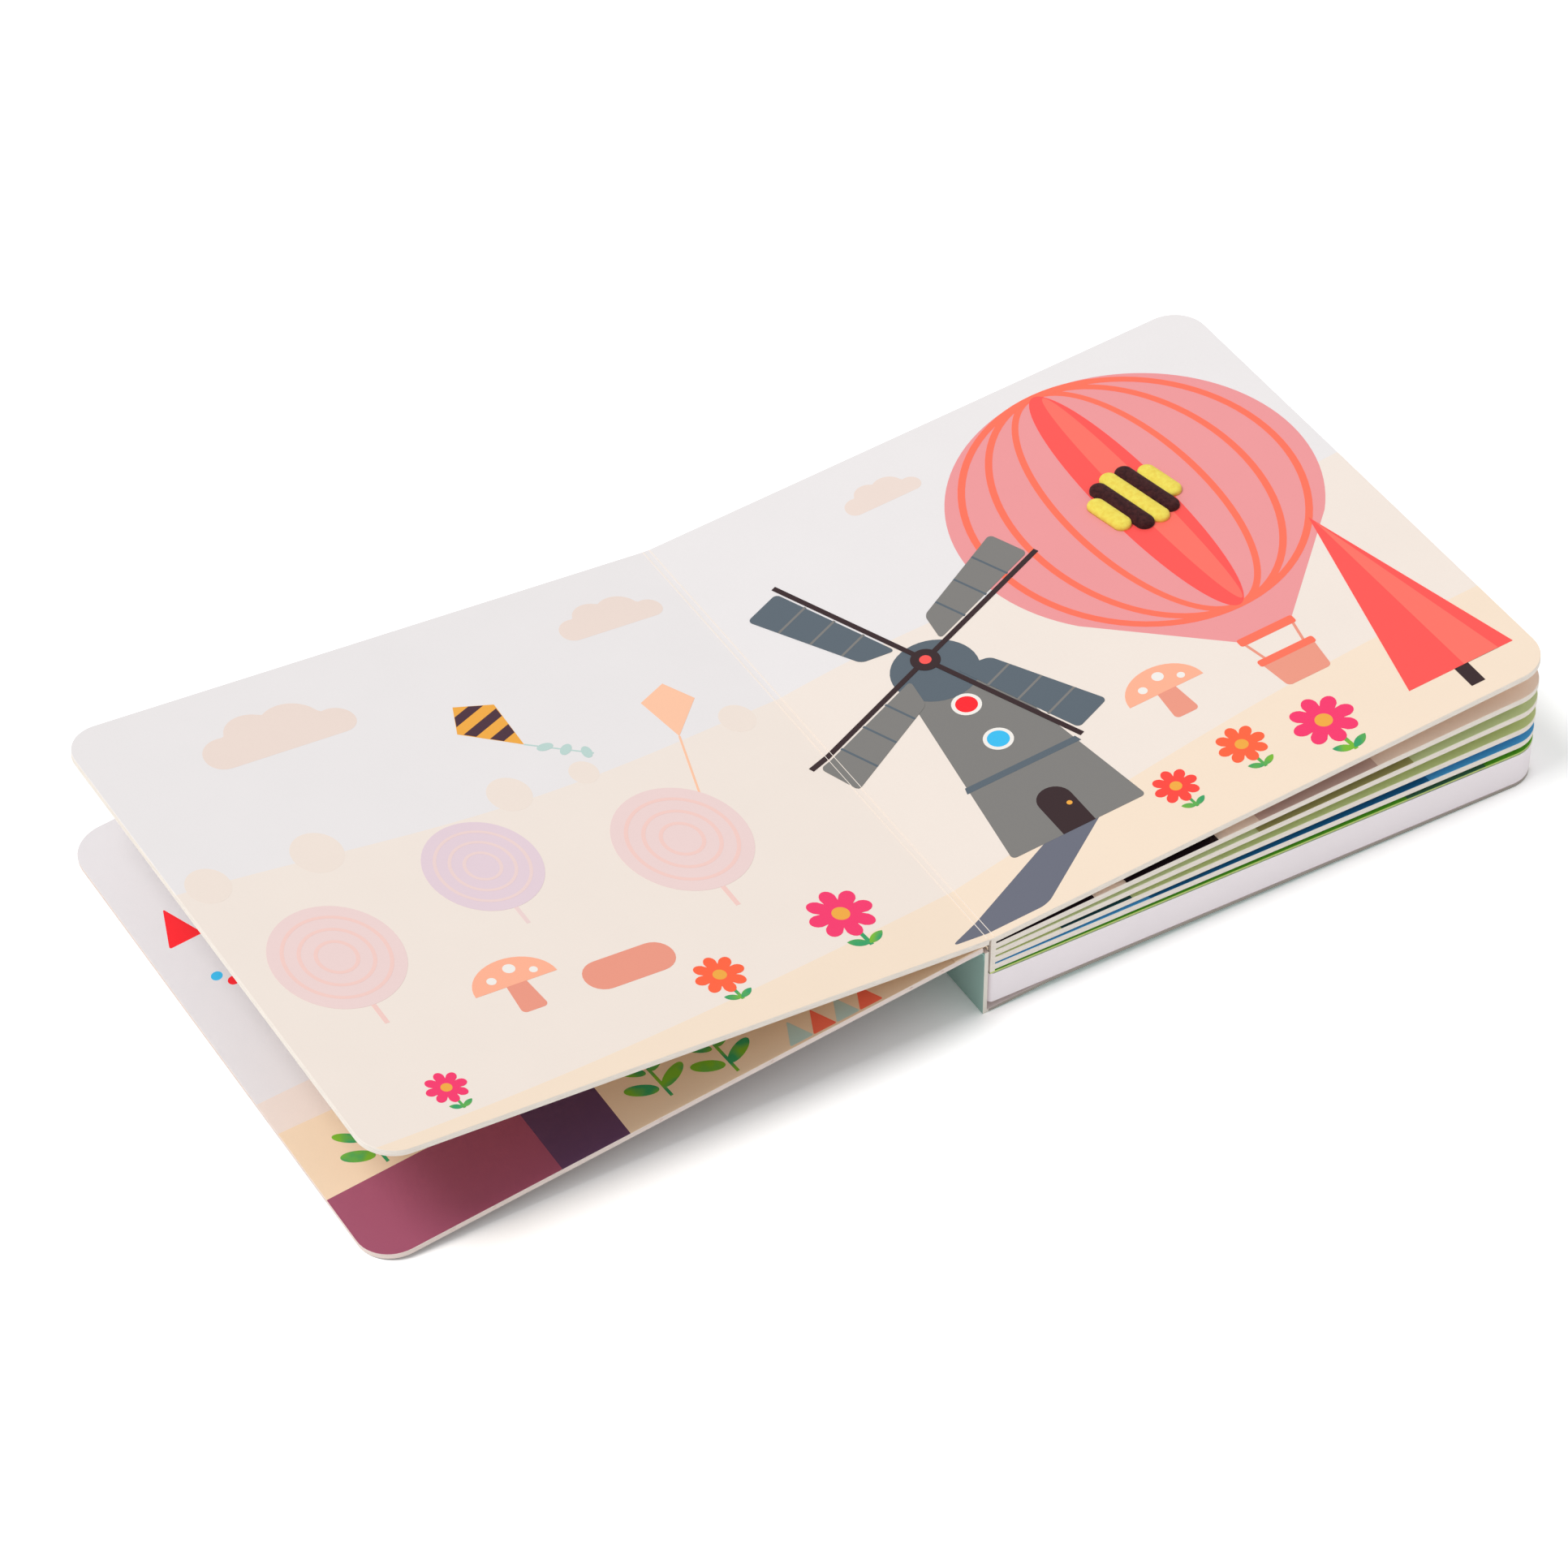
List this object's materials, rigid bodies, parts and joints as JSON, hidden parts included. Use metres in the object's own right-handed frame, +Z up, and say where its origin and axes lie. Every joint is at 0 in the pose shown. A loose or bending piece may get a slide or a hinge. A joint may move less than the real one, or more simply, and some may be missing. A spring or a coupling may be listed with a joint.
{
  "type": "tactile sound book",
  "caption": "Open board book with thick round-cornered leaves, a raised touch pad, hinged front cover and a sound module in a thick white base block.",
  "frame": {"origin": "under the middle of the open book, on the surface it lies on", "axes": "+X along the front edge from the front cover to the sound block, +Y to the back edge of the pages, +Z up"},
  "size_m": [0.361, 0.18, 0.0418],
  "materials": {
    "front_cover_board": "printed board, satin",
    "back_cover_card": "laminated card, satin",
    "page_board": "printed board, satin",
    "touch_pad": "flocked felt",
    "white_block": "white foam, smooth",
    "module_casing": "moulded plastic",
    "circuit_board": "solder mask",
    "black_resin": "resin",
    "button_rubber": "silicone rubber",
    "speaker_paper": "coated paper",
    "bright_steel": "bright",
    "contact_brass": "plated",
    "switch_knob": "moulded plastic",
    "red_wire": "insulation",
    "black_wire": "insulation"
  },
  "bodies": {
    "book_block": {"back_cover": "back_cover_card", "page_block": "page_board", "tactile_pad": "touch_pad", "foam_block": "white_block", "module_case": "module_casing", "module_lid": "module_casing", "circuit_board": "circuit_board", "sound_chip": "black_resin", "speaker_frame": "bright_steel", "speaker_cone": "speaker_paper", "speaker_magnet": "bright_steel", "button_cell_1": "bright_steel", "button_cell_2": "bright_steel", "button_cell_3": "bright_steel", "contact_strip_lower": "contact_brass", "contact_tab_lower": "contact_brass", "contact_strip_upper": "contact_brass", "contact_tab_upper": "contact_brass", "battery_door": "module_casing", "battery_screw": "bright_steel", "switch_body": "black_resin", "speaker_wire_red": "red_wire", "speaker_wire_black": "black_wire"},
    "front_cover": {"front_cover": "front_cover_board"},
    "power_switch": {"power_switch": "switch_knob"},
    "press_button_1": {"press_button_1": "button_rubber"},
    "press_button_2": {"press_button_2": "button_rubber"},
    "press_button_3": {"press_button_3": "button_rubber"},
    "press_button_4": {"press_button_4": "button_rubber"},
    "press_button_5": {"press_button_5": "button_rubber"}
  },
  "joints": [
    {"name": "front_cover_hinge", "type": "hinge", "parent": "book_block", "child": "front_cover", "pos_m": [-0.00166, 0, 0.02243], "axis": [0, 1, 0], "range_deg": [-80, 10.8]},
    {"name": "power_switch_slide", "type": "slide", "parent": "book_block", "child": "power_switch", "axis": [0.9999, 0, -0.0105], "range_m": [0, 0.003]},
    {"name": "press_button_1_travel", "type": "slide", "parent": "book_block", "child": "press_button_1", "axis": [-0.0105, 0, -0.9999], "range_m": [0, 0.0007], "stiffness_N_per_m": 300},
    {"name": "press_button_2_travel", "type": "slide", "parent": "book_block", "child": "press_button_2", "axis": [-0.0105, 0, -0.9999], "range_m": [0, 0.0007], "stiffness_N_per_m": 300},
    {"name": "press_button_3_travel", "type": "slide", "parent": "book_block", "child": "press_button_3", "axis": [-0.0105, 0, -0.9999], "range_m": [0, 0.0007], "stiffness_N_per_m": 300},
    {"name": "press_button_4_travel", "type": "slide", "parent": "book_block", "child": "press_button_4", "axis": [-0.0105, 0, -0.9999], "range_m": [0, 0.0007], "stiffness_N_per_m": 300},
    {"name": "press_button_5_travel", "type": "slide", "parent": "book_block", "child": "press_button_5", "axis": [-0.0105, 0, -0.9999], "range_m": [0, 0.0007], "stiffness_N_per_m": 300}
  ]
}
